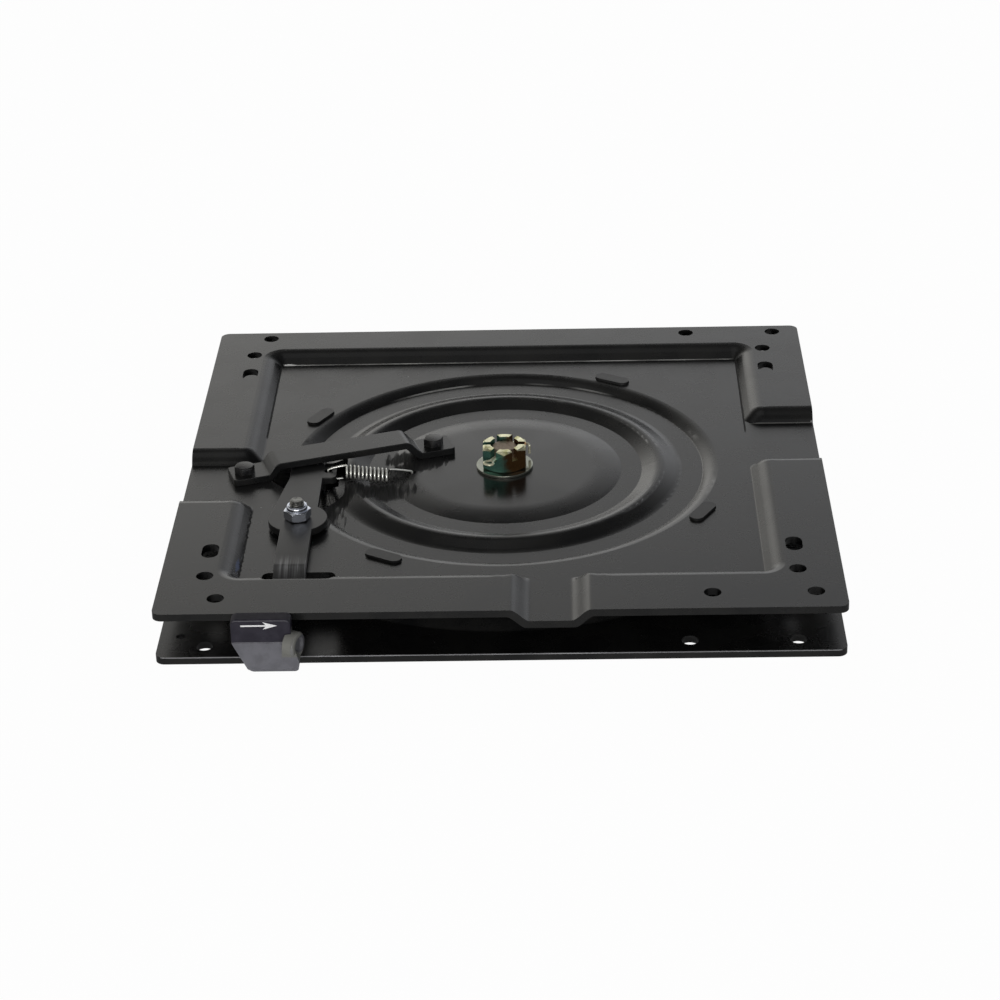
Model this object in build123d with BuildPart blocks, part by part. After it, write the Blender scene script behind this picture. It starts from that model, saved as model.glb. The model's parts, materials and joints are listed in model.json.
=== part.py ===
import os
from math import atan, atan2, cos, degrees, hypot, radians, sin, sqrt, tan

from build123d import *

# Swivel seat base: a pressed base plate, a pressed turntable plate on a centre pivot,
# and a sprung latch lever that drops a pawl into a lock slot of the base plate.
# Millimetres, +Z up, -Y to the front. The origin is on the pivot axis, on the base plate's underside.

# Sheet and overall sizes
sheet = 4.0
plate_width = 355.0
plate_back = 171.0
front_overhang = 7.5
plate_corner = 5.0
plate_gap = 21.5
base_bend = 2.5
rim_bend = 10.0
floor_bend = 1.2
touching = 0.05

# Turntable plate: widths of the rim, then the sunk pocket and its three outlets
rim_side = 33.0
rim_front = 39.0
rim_back = 28.0
pocket_depth = 6.4
pocket_run = 6.5
pocket_corner = 9.0
left_outlet_y = -21.9
left_outlet_width = 56.7
right_outlet_y = 21.4
right_outlet_width = 59.3
front_outlet_x = 26.0
front_outlet_width = 51.0
side_outlet_run = 4.2
front_outlet_run = 17.0
outlet_corner = 10.0

# Turntable plate: pressed rings, from the pocket wall inward to the pivot
ring_land = 11.0
ring_shoulder = 5.3
ring_wall = 4.2
outer_groove = 14.8
bead_rise = 8.6
crest_width = 3.0
bead_fall = 8.4
inner_groove = 12.0
disc_slope = 10.0
groove_depth = 3.5
disc_drop = 1.8
ring_bend = 10.0
groove_bend = 2.6
bead_bend = 12.0
crest_bend = 5.0
disc_bend = 90.0

# Turntable plate: fixing holes for the seat frame, from the plate's edges
seat_hole = 9.0
seat_slot_length = 15.0
seat_side_margin = 23.2
seat_row_margin = 8.7
seat_round_step = 24.0
seat_slot_step = 27.3
seat_row_left_margin = 31.3
seat_row_right_margin = 15.7
seat_row_extra_step = 52.9

# Base plate: stepped dome, lock slots and fixing holes
dome_clearance = 1.2
lock_height = 5.4
base_rim = 22.5
dome_foot_run = 7.0
lock_offset = 2.3
lock_run = 3.1
lock_slot_depth = 6.0
lock_slot_play = 1.5
lock_slot_shift = 0.7
base_hole = 9.0
base_side_margin = 24.5
base_row_margin = 11.5
base_extra_step = 55.6
drain_hole = 5.0
drain_side_margin = 11.0
drain_front_margin = 21.5

# Hexagon heads and nuts: the turned bevel on their ends
bevel_angle = 30.0
bevel_face = 0.95

# Centre pivot
pivot_diameter = 16.0
pivot_fit = 0.05
pivot_flats = 24.0
pivot_turn = 30.0
pivot_chamfer = 1.5
bush_wall = 2.0
bush_end_gap = 0.1
head_clearance = 0.4
washer_diameter = 32.0
washer_thickness = 1.6
nut_height = 13.0
crown_slot_width = 3.4
crown_slot_depth = 6.0
bolt_end_drop = 1.7
thrust_margin = 20.7
pin_wire = 1.5
pin_split = 0.1
pin_hole = 3.5
pin_seat = 0.2
pin_eye = 2.6
pin_direction = 60.0
pin_overhang = 2.0
pin_curl = 7.3
pin_hang = 5.5
pin_bend = 1.2
pin_eye_bend = 2.1

# Glide pads
pad_count = 4
pad_first_angle = 60.0
pad_inset = 1.5
pad_width = 14.5
pad_half_angle = 9.5
pad_corner = 1.5
lug_offset = 3.5
lug_length = 22.0
lug_width = 8.5
lug_clearance = 0.3
lug_proud = 1.5

# Latch lever
lever_sheet = 4.0
lever_reach = 72.0
pawl_y = -1.0
pawl_width = 12.0
pawl_gap = 1.0
pawl_tip_clearance = 1.5
pawl_bend = 2.5
pawl_relief = 1.5
arm_width = 18.4
arm_end = 2.0
hub_offset = 10.0
hub_radius = 16.0
tab_reach = 7.4
tab_length = 14.0
tab_gap = 5.0
bar_width = 17.0
bar_drop_gap = 0.5
bar_drop_run = 7.0
bar_shift = 4.5
bar_shift_lead = 1.5
bar_shift_run = 24.0
bar_bend = 4.0
rim_clearance = 0.6
tab_drop = 8.5
lever_corner = 3.0
lever_bolt_diameter = 8.0
lever_bolt_flats = 13.0
lever_bolt_head = 5.3
lever_bolt_stand = 2.8
lever_bolt_chamfer = 0.8
lever_nut_hex = 5.4
lever_nut_collar = 2.6
lever_nut_wall = 1.7
lever_nut_round = 1.2
lever_nut_turn = 12.0
lever_fit = 0.1
lever_play = 0.2
spacer_diameter = 18.0
spacer_thickness = 1.6

# Openings in the turntable plate that the lever works in
window_left_room = 11.6
window_right_room = 4.6
window_rear_room = 3.0
window_left_step = 9.0
window_right_step = 5.0
window_tip_inset = 2.0
window_tip_step = 26.0
window_corner = 3.0
gate_left_room = 6.2
gate_right_room = 15.5
gate_lead = 8.1
gate_bite = 3.3
gate_corner = 4.0

# Keeper strap
strap_width = 18.0
strap_sheet = 4.0
strap_near_reach = 26.2
strap_near_step = 13.1
strap_far_inset = 14.7
strap_far_step = 22.5
strap_near_end = 8.0
strap_far_end = 10.5
strap_near_foot = 13.0
strap_near_rise = 4.5
strap_far_foot = 10.5
strap_far_rise = 7.0
strap_clearance = 0.5
strap_bend = 3.5
strap_corner = 2.0
strap_bolt_diameter = 6.0
strap_bolt_flats = 10.0
strap_bolt_head = 4.2
strap_bolt_proud = 0.6
strap_hole_clearance = 0.3
tapped_fit = 0.05

# Return spring
spring_wire = 1.3
spring_diameter = 8.6
spring_turns = 11
spring_tab_inset = 4.8
spring_tab_step = 1.8
spring_hole = 4.5
spring_hole_inset = 13.5
spring_hole_y = -5.8
spring_near_gap = 5.3
spring_near_step = -0.4
spring_far_gap = 12.1
spring_far_step = 11.4
spring_near_lift = 5.1
spring_far_lift = 1.9
spring_hook_drop = 1.6
spring_hook_rise = 1.4
spring_hook_bend = 1.0
spring_tail = 7.9
spring_tail_step = 1.6
spring_lead = 2.2

# Finger grip
grip_gap = 3.5
grip_depth = 7.5
grip_left = 20.5
grip_right = 10.2
grip_proud = 2.5
grip_face = 13.2
grip_lip_reach = 10.0
grip_lip_drop = 9.6
grip_lip_edge = 2.4
grip_lip_round = 1.6
grip_slope = 11.0
grip_flare = 4.0
grip_lip_corner = 2.5
grip_lip_side = 5.0
grip_edge_round = 1.0
grip_wall = 1.8
grip_socket_fit = 0.1
grip_corner = 3.0
grip_boss_diameter = 14.0
grip_boss_length = 6.2
grip_boss_root = 2.0
grip_boss_turn = 22.0
grip_boss_drop = 15.0
grip_boss_round = 1.2
grip_dish_diameter = 9.0
grip_dish = 1.2
grip_dish_foot = 7.0

# Levels worked out from the sizes above
rim_bottom = sheet + plate_gap
rim_top = rim_bottom + sheet
floor_top = rim_top - pocket_depth
floor_bottom = floor_top - sheet
groove_top = floor_top - groove_depth
groove_bottom = groove_top - sheet
disc_top = floor_top - disc_drop
disc_bottom = disc_top - sheet
dome_top = groove_bottom - dome_clearance
dome_bottom = dome_top - sheet
track_top = dome_top - lock_height
washer_top = disc_top + washer_thickness
nut_top = washer_top + nut_height
bolt_end = nut_top - bolt_end_drop
pin_z = nut_top - crown_slot_depth + pin_wire / 2 + pin_seat
lever_bottom = floor_top + spacer_thickness
lever_top = lever_bottom + lever_sheet
lever_nut_bottom = lever_top + lever_play
lever_nut_top = lever_nut_bottom + lever_nut_hex + lever_nut_collar
lever_bolt_end = lever_nut_top + lever_bolt_stand
bar_top = rim_bottom - rim_clearance
bar_bottom = bar_top - lever_sheet
tab_bottom = bar_bottom - tab_drop
pawl_tip = track_top + pawl_tip_clearance

# Plan positions worked out from the sizes above
half_width = plate_width / 2
plate_front = plate_back + front_overhang
plate_length = plate_front + plate_back
pocket_half_width = half_width - rim_side
pocket_front = plate_front - rim_front
pocket_back = plate_back - rim_back
ring_edge = min(pocket_half_width, pocket_front, pocket_back) - pocket_run - ring_land
ring_outer = ring_edge - ring_shoulder
ring_foot = ring_outer - ring_wall
bead_outer = ring_foot - outer_groove
crest_outer = bead_outer - bead_rise
crest_inner = crest_outer - crest_width
bead_inner = crest_inner - bead_fall
disc_radius = bead_inner - inner_groove
disc_flat = disc_radius - disc_slope
seat_row_y = plate_back - seat_row_margin
seat_column_x = half_width - seat_side_margin
seat_round_y = seat_row_y - seat_round_step
seat_slot_y = seat_round_y - seat_slot_step
seat_row_left_x = seat_row_left_margin - half_width
seat_row_right_x = half_width - seat_row_right_margin
seat_row_extra_x = seat_row_right_x - seat_row_extra_step
dome_foot = min(half_width, plate_front) - base_rim
lock_radius = bead_outer + lock_offset
base_hole_x = half_width - base_side_margin
base_hole_y = plate_front - base_row_margin
base_extra_x = base_hole_x - base_extra_step
bush_radius = pivot_diameter / 2 + bush_wall
pad_radius = ring_edge + lug_offset
pad_inner = ring_edge - pad_inset
pad_outer = pad_inner + pad_width
pawl_front_y = pawl_y - pawl_width / 2
pawl_rear_y = pawl_y + pawl_width / 2
arm_right_x = -lock_radius - pawl_gap
arm_left_x = arm_right_x - arm_width
arm_rear_y = pawl_rear_y + arm_end
lever_x = arm_right_x - hub_offset
lever_y = pawl_y - lever_reach
tab_right_x = arm_right_x + tab_reach
tab_rear_y = pawl_front_y - tab_gap
tab_front_y = tab_rear_y - tab_length
bar_drop_front_y = bar_drop_gap + pocket_run - pocket_front
bar_drop_rear_y = bar_drop_front_y + bar_drop_run
bar_shift_rear_y = -pocket_front - bar_shift_lead
bar_shift_front_y = bar_shift_rear_y - bar_shift_run
bar_end_x = lever_x - bar_shift
grip_back_y = -plate_front - grip_gap
grip_front_y = grip_back_y - grip_depth
grip_left_x = bar_end_x - grip_left
grip_right_x = bar_end_x + grip_right
grip_top = rim_top + grip_proud
grip_face_bottom = grip_top - grip_face
grip_lip_y = grip_front_y - grip_lip_reach
grip_lip_z = grip_face_bottom - grip_lip_drop
socket_y = grip_back_y - grip_depth / 2
strap_x = arm_left_x - strap_near_reach
strap_y = pawl_y - strap_near_step
strap_far_x = strap_far_inset - disc_flat
strap_far_y = pawl_y + strap_far_step
strap_span = hypot(strap_far_x - strap_x, strap_far_y - strap_y)
strap_turn = atan2(strap_far_y - strap_y, strap_far_x - strap_x)
spring_tab_x = tab_right_x - spring_tab_inset
spring_tab_y = (tab_front_y + tab_rear_y) / 2 + spring_tab_step
spring_hole_x = spring_hole_inset - disc_radius

os.makedirs("parts", exist_ok=True)


def bend_growth(run):
    # How far a sloping wall of even thickness moves outward on its far side
    return sheet * tan(atan(pocket_depth / run) / 2)


def outlet(middle, width, run, grow, level):
    # Section of one outlet: wide at the rim, narrower at its floor
    half = width / 2 + grow
    with BuildSketch() as section:
        Polygon(
            (middle - half, level),
            (middle + half, level),
            (middle + half - run, level - pocket_depth),
            (middle - half + run, level - pocket_depth),
            align=None,
        )
    return section.sketch


def inside_outline(edge):
    # Whether an edge lies clear of the plate's cut outline
    middle = edge @ 0.5
    side = half_width - abs(middle.X)
    end = min(middle.Y + plate_front, plate_back - middle.Y)
    at_corner = side < plate_corner and end < plate_corner
    return min(side, end) > touching and not at_corner


def pressed_form(level, far_side):
    # The sunk shape of the turntable plate below the given rim level
    share = 1.0 if far_side else 0.0
    wall_grow = share * bend_growth(pocket_run)
    side_grow = share * bend_growth(side_outlet_run)
    front_grow = share * bend_growth(front_outlet_run)
    corner_radius = outlet_corner - min(wall_grow, side_grow, front_grow)
    foot_radius = floor_bend + share * sheet
    overlap = pocket_run + 2 * outlet_corner
    inside = pocket_half_width - overlap
    inside_front = pocket_front - overlap
    width = 2 * (pocket_half_width + wall_grow)
    length = pocket_front + pocket_back + 2 * wall_grow
    left_section = outlet(left_outlet_y, left_outlet_width, side_outlet_run, side_grow, level)
    right_section = outlet(right_outlet_y, right_outlet_width, side_outlet_run, side_grow, level)
    front_section = outlet(front_outlet_x, front_outlet_width, front_outlet_run, front_grow, level)
    with BuildPart() as form:
        with BuildSketch(Plane.XY.offset(level)):
            with Locations((0, (pocket_back - pocket_front) / 2)):
                RectangleRounded(width, length, pocket_corner + wall_grow)
        extrude(amount=-pocket_depth, taper=degrees(atan(pocket_run / pocket_depth)))
        pocket_edges = form.edges()
        with BuildSketch(Plane.YZ.offset(-half_width)):
            add(left_section)
        extrude(amount=half_width - inside)
        with BuildSketch(Plane.YZ.offset(inside)):
            add(right_section)
        extrude(amount=half_width - inside)
        with BuildSketch(Plane.XZ.offset(inside_front)):
            add(front_section)
        extrude(amount=plate_front - inside_front)
        # Slanted corners where an outlet leaves the pocket, then the bend along the floor
        outlet_edges = [
            edge
            for edge in form.edges().filter_by(GeomType.LINE)
            if edge.bounding_box().size.Z > pocket_depth - touching
            and inside_outline(edge)
            and min((edge @ 0.5 - old @ 0.5).length for old in pocket_edges) > touching
        ]
        fillet(outlet_edges, corner_radius)
        floor_edges = form.faces().sort_by(Axis.Z)[0].outer_wire().edges()
        fillet([edge for edge in floor_edges if inside_outline(edge)], foot_radius)
    return form.part


def hexagon(flats, bottom, height, turn, low_bevel, high_bevel):
    # Hexagon head or nut, bevelled on the ends that are asked for
    top = bottom + height
    corner = flats / sqrt(3)
    face_radius = bevel_face * flats / 2
    bevel = (corner - face_radius) * tan(radians(bevel_angle))
    low_end = [(face_radius, bottom), (corner, bottom + bevel)] if low_bevel else [(corner, bottom)]
    high_end = [(corner, top - bevel), (face_radius, top)] if high_bevel else [(corner, top)]
    with BuildPart() as blank:
        with BuildSketch(Plane.XY.offset(bottom)):
            RegularPolygon(flats / 2, 6, major_radius=False, rotation=turn)
        extrude(amount=height)
        with BuildSketch(Plane.XZ):
            with BuildLine():
                Polyline((0, bottom), *low_end, *high_end, (0, top), close=True)
            make_face()
        revolve(axis=Axis.Z, mode=Mode.INTERSECT)
    return blank.part


def spring_coil(length, radius):
    # Coils of round wire along +Z from the origin, and the line that they follow
    with BuildPart() as coil:
        with BuildLine() as coil_line:
            Helix(length / spring_turns, length, radius)
        with BuildSketch(Plane(origin=coil_line.line @ 0, z_dir=coil_line.line % 0)):
            Circle(spring_wire / 2)
        sweep(path=coil_line.line, is_frenet=True)
    return coil.part, coil_line.line


# Base plate: flat rim, glide track one step up, locking dome above it
track_middle = track_top - sheet / 2
dome_middle = dome_top - sheet / 2
with BuildPart() as base_plate:
    with BuildSketch():
        RectangleRounded(plate_width, 2 * plate_front, plate_corner)
        Circle(dome_foot + sheet, mode=Mode.SUBTRACT)
    extrude(amount=sheet)
    with BuildSketch(Plane.XZ):
        with BuildLine():
            FilletPolyline(
                (dome_foot + sheet, sheet / 2),
                (dome_foot, sheet / 2),
                (dome_foot - dome_foot_run, track_middle),
                (lock_radius, track_middle),
                (lock_radius - lock_run, dome_middle),
                (pivot_diameter / 2 + pivot_fit, dome_middle),
                radius=base_bend + sheet / 2,
            )
        trace(line_width=sheet)
    revolve(axis=Axis.Z)
    # Two punched lock slots, half a turn apart
    slot_inner = lock_radius - lock_slot_depth
    slot_outer = lock_radius + sheet
    with BuildSketch():
        with PolarLocations((slot_inner + slot_outer) / 2, 2, start_angle=180):
            with Locations((0, lock_slot_shift - pawl_y)):
                Rectangle(slot_outer - slot_inner, pawl_width + 2 * lock_slot_play)
    extrude(amount=dome_top, mode=Mode.SUBTRACT)
    with BuildSketch():
        with GridLocations(2 * base_hole_x, 2 * base_hole_y, 2, 2):
            Circle(base_hole / 2)
        with Locations((base_extra_x, base_hole_y), (base_extra_x, -base_hole_y)):
            Circle(base_hole / 2)
        with Locations((drain_side_margin - half_width, drain_front_margin - plate_front)):
            Circle(drain_hole / 2)
    extrude(amount=sheet, mode=Mode.SUBTRACT)
base_plate.part.label = "base_plate"
export_step(base_plate.part, "parts/base_plate.step")

# Turntable plate: rim and sunk pocket, then the pressed rings, the openings and the holes
near_form = pressed_form(rim_top, False)
far_form = pressed_form(rim_bottom, True)
with BuildPart() as top_plate:
    with BuildSketch(Plane.XY.offset(rim_bottom)):
        with Locations((0, (plate_back - plate_front) / 2)):
            RectangleRounded(plate_width, plate_length, plate_corner)
    extrude(amount=sheet)
    add(far_form)
    add(near_form, mode=Mode.SUBTRACT)
    for level, radius in ((rim_top, rim_bend), (rim_bottom, rim_bend - sheet)):
        level_edges = top_plate.edges().filter_by_position(Axis.Z, level - touching, level + touching)
        fillet([edge for edge in level_edges if inside_outline(edge)], radius)
    # The pressed rings are one even sheet turned about the pivot, with its bends listed inward
    outer_bends = [ring_bend, groove_bend, bead_bend, crest_bend]
    inner_bends = [crest_bend, groove_bend, groove_bend, disc_bend]
    with BuildSketch(Plane.XY.offset(floor_bottom)):
        Circle(ring_edge)
    extrude(amount=sheet, mode=Mode.SUBTRACT)
    with BuildSketch(Plane.XZ):
        with BuildLine():
            FilletPolyline(
                (ring_edge, floor_top - sheet / 2),
                (ring_outer, floor_top - sheet / 2),
                (ring_foot, groove_top - sheet / 2),
                (bead_outer, groove_top - sheet / 2),
                (crest_outer, floor_top - sheet / 2),
                (crest_inner, floor_top - sheet / 2),
                (bead_inner, groove_top - sheet / 2),
                (disc_radius, groove_top - sheet / 2),
                (disc_flat, disc_top - sheet / 2),
                (bush_radius, disc_top - sheet / 2),
                radius=outer_bends + inner_bends,
            )
        trace(line_width=sheet)
    revolve(axis=Axis.Z)
    # Window that the lever's pawl drops through
    with BuildSketch(Plane.XY.offset(groove_bottom)) as window:
        Polygon(
            (arm_left_x - window_left_room, arm_rear_y + window_rear_room),
            (arm_left_x - window_left_room, tab_front_y + window_left_step),
            (arm_right_x - window_tip_inset, tab_front_y - window_tip_step),
            (tab_right_x + window_right_room, tab_front_y - window_right_step),
            (tab_right_x + window_right_room, arm_rear_y + window_rear_room),
            align=None,
        )
        fillet(window.vertices(), window_corner)
    extrude(amount=rim_bottom - groove_bottom, mode=Mode.SUBTRACT)
    # Gate in the front wall for the lever's bar
    gate_left_x = lever_x - bar_width / 2 - gate_left_room
    gate_right_x = lever_x + bar_width / 2 + gate_right_room
    gate_rear_y = bar_drop_front_y + gate_lead
    gate_front_y = -pocket_front - gate_bite
    with BuildSketch(Plane.XY.offset(floor_bottom)):
        with Locations(((gate_left_x + gate_right_x) / 2, (gate_front_y + gate_rear_y) / 2)):
            RectangleRounded(gate_right_x - gate_left_x, gate_rear_y - gate_front_y, gate_corner)
    extrude(amount=rim_top - floor_bottom, mode=Mode.SUBTRACT)
    # Holes through the rim, the floor and the disc
    with BuildSketch(Plane.XY.offset(groove_bottom)):
        with GridLocations(2 * seat_column_x, 2 * seat_round_y, 2, 2):
            Circle(seat_hole / 2)
        with GridLocations(2 * seat_column_x, 2 * seat_slot_y, 2, 2):
            SlotOverall(seat_slot_length, seat_hole, rotation=90)
        for row_x in (seat_row_left_x, seat_row_right_x, seat_row_extra_x):
            with Locations((row_x, seat_row_y), (row_x, -seat_row_y)):
                Circle(seat_hole / 2)
        with PolarLocations(pad_radius, pad_count, start_angle=pad_first_angle):
            SlotOverall(lug_length, lug_width, rotation=90)
        with Locations((lever_x, lever_y)):
            Circle(lever_bolt_diameter / 2 + tapped_fit)
        with Locations((strap_x, strap_y), (strap_far_x, strap_far_y)):
            Circle(strap_bolt_diameter / 2 + tapped_fit)
        with Locations((spring_hole_x, spring_hole_y)):
            Circle(spring_hole / 2)
    extrude(amount=rim_top - groove_bottom, mode=Mode.SUBTRACT)
top_plate.part.label = "top_plate"
export_step(top_plate.part, "parts/top_plate.step")

# Pivot bolt: head under the dome, cross hole for the split pin near its end
pivot_head = hexagon(pivot_flats, head_clearance, dome_bottom - head_clearance, pivot_turn, True, False)
pin_line = (cos(radians(pin_direction)), sin(radians(pin_direction)), 0)
with BuildPart() as pivot_bolt:
    add(pivot_head)
    with BuildSketch(Plane.XY.offset(dome_bottom)):
        Circle(pivot_diameter / 2)
    extrude(amount=bolt_end - dome_bottom)
    chamfer(pivot_bolt.edges().group_by(Axis.Z)[-1], pivot_chamfer)
    with BuildSketch(Plane(origin=(0, 0, pin_z), z_dir=pin_line)):
        Circle(pin_hole / 2)
    extrude(amount=pivot_diameter, both=True, mode=Mode.SUBTRACT)
pivot_bolt.part.label = "pivot_bolt"
export_step(pivot_bolt.part, "parts/pivot_bolt.step")

# Thrust ring between the dome and the turntable's disc
with BuildPart() as thrust_ring:
    with BuildSketch(Plane.XY.offset(dome_top)):
        Circle(disc_flat - thrust_margin)
        Circle(pivot_diameter / 2 + pivot_fit, mode=Mode.SUBTRACT)
    extrude(amount=disc_bottom - dome_top)
thrust_ring.part.label = "thrust_ring"
export_step(thrust_ring.part, "parts/thrust_ring.step")

# Bush pressed into the turntable's bore
with BuildPart() as pivot_bush:
    with BuildSketch(Plane.XY.offset(disc_bottom + bush_end_gap)):
        Circle(bush_radius)
        Circle(pivot_diameter / 2 + pivot_fit, mode=Mode.SUBTRACT)
    extrude(amount=sheet - 2 * bush_end_gap)
pivot_bush.part.label = "pivot_bush"
export_step(pivot_bush.part, "parts/pivot_bush.step")

# Washer under the castle nut
with BuildPart() as pivot_washer:
    with BuildSketch(Plane.XY.offset(disc_top)):
        Circle(washer_diameter / 2)
        Circle(pivot_diameter / 2 + pivot_fit, mode=Mode.SUBTRACT)
    extrude(amount=washer_thickness)
pivot_washer.part.label = "pivot_washer"
export_step(pivot_washer.part, "parts/pivot_washer.step")

# Castle nut: crown slots through its flats
nut_blank = hexagon(pivot_flats, washer_top, nut_height, pivot_turn, True, True)
with BuildPart() as castle_nut:
    add(nut_blank)
    with BuildSketch(Plane.XY.offset(nut_top)):
        for turn in range(0, 180, 60):
            Rectangle(2 * pivot_flats, crown_slot_width, rotation=turn)
    extrude(amount=-crown_slot_depth, mode=Mode.SUBTRACT)
    with BuildSketch(Plane.XY.offset(washer_top)):
        Circle(pivot_diameter / 2 + pivot_fit)
    extrude(amount=nut_height, mode=Mode.SUBTRACT)
castle_nut.part.label = "castle_nut"
export_step(castle_nut.part, "parts/castle_nut.step")

# Split pin: one wire, along one leg, round the eye and back, one end bent down, the other aside and down
pin_plane = Plane(origin=(0, 0, pin_z), x_dir=pin_line, z_dir=(0, 0, 1))
pin_start = -pivot_flats / 2 - pin_overhang
pin_end = pivot_flats / 2 + pin_overhang
pin_low = washer_top + pin_wire - pin_z
leg_offset = (pin_wire + pin_split) / 2
with BuildPart() as split_pin:
    with BuildLine(pin_plane) as pin_path:
        FilletPolyline(
            (pin_end, leg_offset, pin_low),
            (pin_end, leg_offset, 0),
            (pin_start, leg_offset, 0),
            (pin_start - pin_eye, pin_eye, 0),
            (pin_start - 2 * pin_eye, pin_eye, 0),
            (pin_start - 2 * pin_eye, -pin_eye, 0),
            (pin_start - pin_eye, -pin_eye, 0),
            (pin_start, -leg_offset, 0),
            (pin_end, -leg_offset, 0),
            (pin_end, -leg_offset - pin_curl, 0),
            (pin_end, -leg_offset - pin_curl, -pin_hang),
            radius=[pin_bend] * 3 + [pin_eye_bend] * 2 + [pin_bend] * 4,
        )
    with BuildSketch(Plane(origin=pin_path.line @ 0, z_dir=pin_path.line % 0)):
        Circle(pin_wire / 2)
    sweep(path=pin_path.line)
split_pin.part.label = "split_pin"
export_step(split_pin.part, "parts/split_pin.step")

# Glide pads: a block on the base plate's track, held by a lug in the turntable plate
for number in range(1, pad_count + 1):
    turn = radians(pad_first_angle + 360 / pad_count * (number - 1))
    reach = 2 * pad_outer
    half_span = reach * tan(radians(pad_half_angle))
    pad_plane = Plane(origin=(0, 0, track_top), x_dir=(cos(turn), sin(turn), 0), z_dir=(0, 0, 1))
    with BuildPart() as glide_pad:
        with BuildSketch(pad_plane):
            Circle(pad_outer)
            Circle(pad_inner, mode=Mode.SUBTRACT)
            Polygon((0, 0), (reach, -half_span), (reach, half_span), align=None, mode=Mode.INTERSECT)
        extrude(amount=floor_bottom - track_top)
        fillet(glide_pad.edges().filter_by(Axis.Z), pad_corner)
        with BuildSketch(pad_plane.offset(floor_bottom - track_top)):
            with Locations((pad_radius, 0)):
                SlotOverall(lug_length - 2 * lug_clearance, lug_width - 2 * lug_clearance, rotation=90)
        extrude(amount=sheet + lug_proud)
    glide_pad.part.label = f"glide_pad_{number}"
    export_step(glide_pad.part, f"parts/glide_pad_{number}.step")

# Latch lever: one strip, set down under the rim and bent down inside the grip, with a folded pawl
lever_middle = lever_top - lever_sheet / 2
bar_middle = bar_top - lever_sheet / 2
arm_outer = lever_x - hub_radius
relief_depth = lever_sheet + pawl_bend
with BuildPart() as latch_lever:
    with BuildSketch(Plane.YZ.offset(arm_outer - hub_radius)):
        with BuildLine():
            FilletPolyline(
                (arm_rear_y, lever_middle),
                (bar_drop_rear_y, lever_middle),
                (bar_drop_front_y, bar_middle),
                (socket_y, bar_middle),
                (socket_y, tab_bottom),
                radius=bar_bend,
            )
        trace(line_width=lever_sheet)
    extrude(amount=tab_right_x - arm_outer + 2 * hub_radius)
    with BuildSketch() as lever_plan:
        Polygon(
            (arm_left_x, arm_rear_y),
            (arm_left_x, tab_front_y),
            (arm_outer, lever_y),
            (arm_right_x, lever_y),
            (arm_right_x, arm_rear_y),
            align=None,
        )
        Polygon(
            (arm_left_x, tab_rear_y),
            (arm_left_x, tab_front_y),
            (tab_right_x, tab_front_y),
            (tab_right_x, tab_rear_y),
            align=None,
        )
        Polygon(
            (lever_x - bar_width / 2, lever_y),
            (lever_x - bar_width / 2, bar_shift_rear_y),
            (bar_end_x - bar_width / 2, bar_shift_front_y),
            (bar_end_x - bar_width / 2, grip_front_y),
            (bar_end_x + bar_width / 2, grip_front_y),
            (bar_end_x + bar_width / 2, bar_shift_front_y),
            (lever_x + bar_width / 2, bar_shift_rear_y),
            (lever_x + bar_width / 2, lever_y),
            align=None,
        )
        fillet(lever_plan.vertices().group_by(Axis.X)[-1], lever_corner)
        # Relief cuts beside the folded pawl
        relief_x = arm_right_x - relief_depth / 2
        with Locations((relief_x, pawl_front_y - pawl_relief / 2)):
            Rectangle(relief_depth, pawl_relief, mode=Mode.SUBTRACT)
        with Locations((relief_x, pawl_rear_y + arm_end / 2)):
            Rectangle(relief_depth, arm_end, mode=Mode.SUBTRACT)
        with Locations((lever_x, lever_y)):
            Circle(hub_radius)
            Circle(lever_bolt_diameter / 2 + lever_fit, mode=Mode.SUBTRACT)
        with Locations((spring_tab_x, spring_tab_y)):
            Circle(spring_hole / 2, mode=Mode.SUBTRACT)
    extrude(amount=rim_top, mode=Mode.INTERSECT)
    # The pawl is folded down from the arm's right side
    with BuildSketch(Plane.XY.offset(pawl_tip)):
        with Locations((arm_right_x - lever_sheet / 2, pawl_y)):
            Rectangle(lever_sheet, pawl_width)
    extrude(amount=lever_top - pawl_tip)
    side_edges = latch_lever.edges().filter_by_position(Axis.X, arm_right_x - touching, arm_right_x)
    pawl_edges = side_edges.filter_by_position(Axis.Y, pawl_front_y, pawl_rear_y).filter_by(Axis.Y)
    fillet(pawl_edges.sort_by(Axis.Z)[-1], pawl_bend)
latch_lever.part.label = "latch_lever"
export_step(latch_lever.part, "parts/latch_lever.step")

# Lever pivot: bolt from below, spacer under the lever, locking nut above it
head_bottom = floor_bottom - lever_bolt_head
lever_head = hexagon(lever_bolt_flats, head_bottom, lever_bolt_head, lever_nut_turn, True, False)
with BuildPart() as lever_bolt:
    with Locations((lever_x, lever_y)):
        add(lever_head)
    with BuildSketch(Plane.XY.offset(floor_bottom)):
        with Locations((lever_x, lever_y)):
            Circle(lever_bolt_diameter / 2)
    extrude(amount=lever_bolt_end - floor_bottom)
    chamfer(lever_bolt.edges().group_by(Axis.Z)[-1], lever_bolt_chamfer)
lever_bolt.part.label = "lever_bolt"
export_step(lever_bolt.part, "parts/lever_bolt.step")

with BuildPart() as lever_spacer:
    with BuildSketch(Plane.XY.offset(floor_top)):
        with Locations((lever_x, lever_y)):
            Circle(spacer_diameter / 2)
            Circle(lever_bolt_diameter / 2 + lever_fit, mode=Mode.SUBTRACT)
    extrude(amount=spacer_thickness)
lever_spacer.part.label = "lever_spacer"
export_step(lever_spacer.part, "parts/lever_spacer.step")

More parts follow.
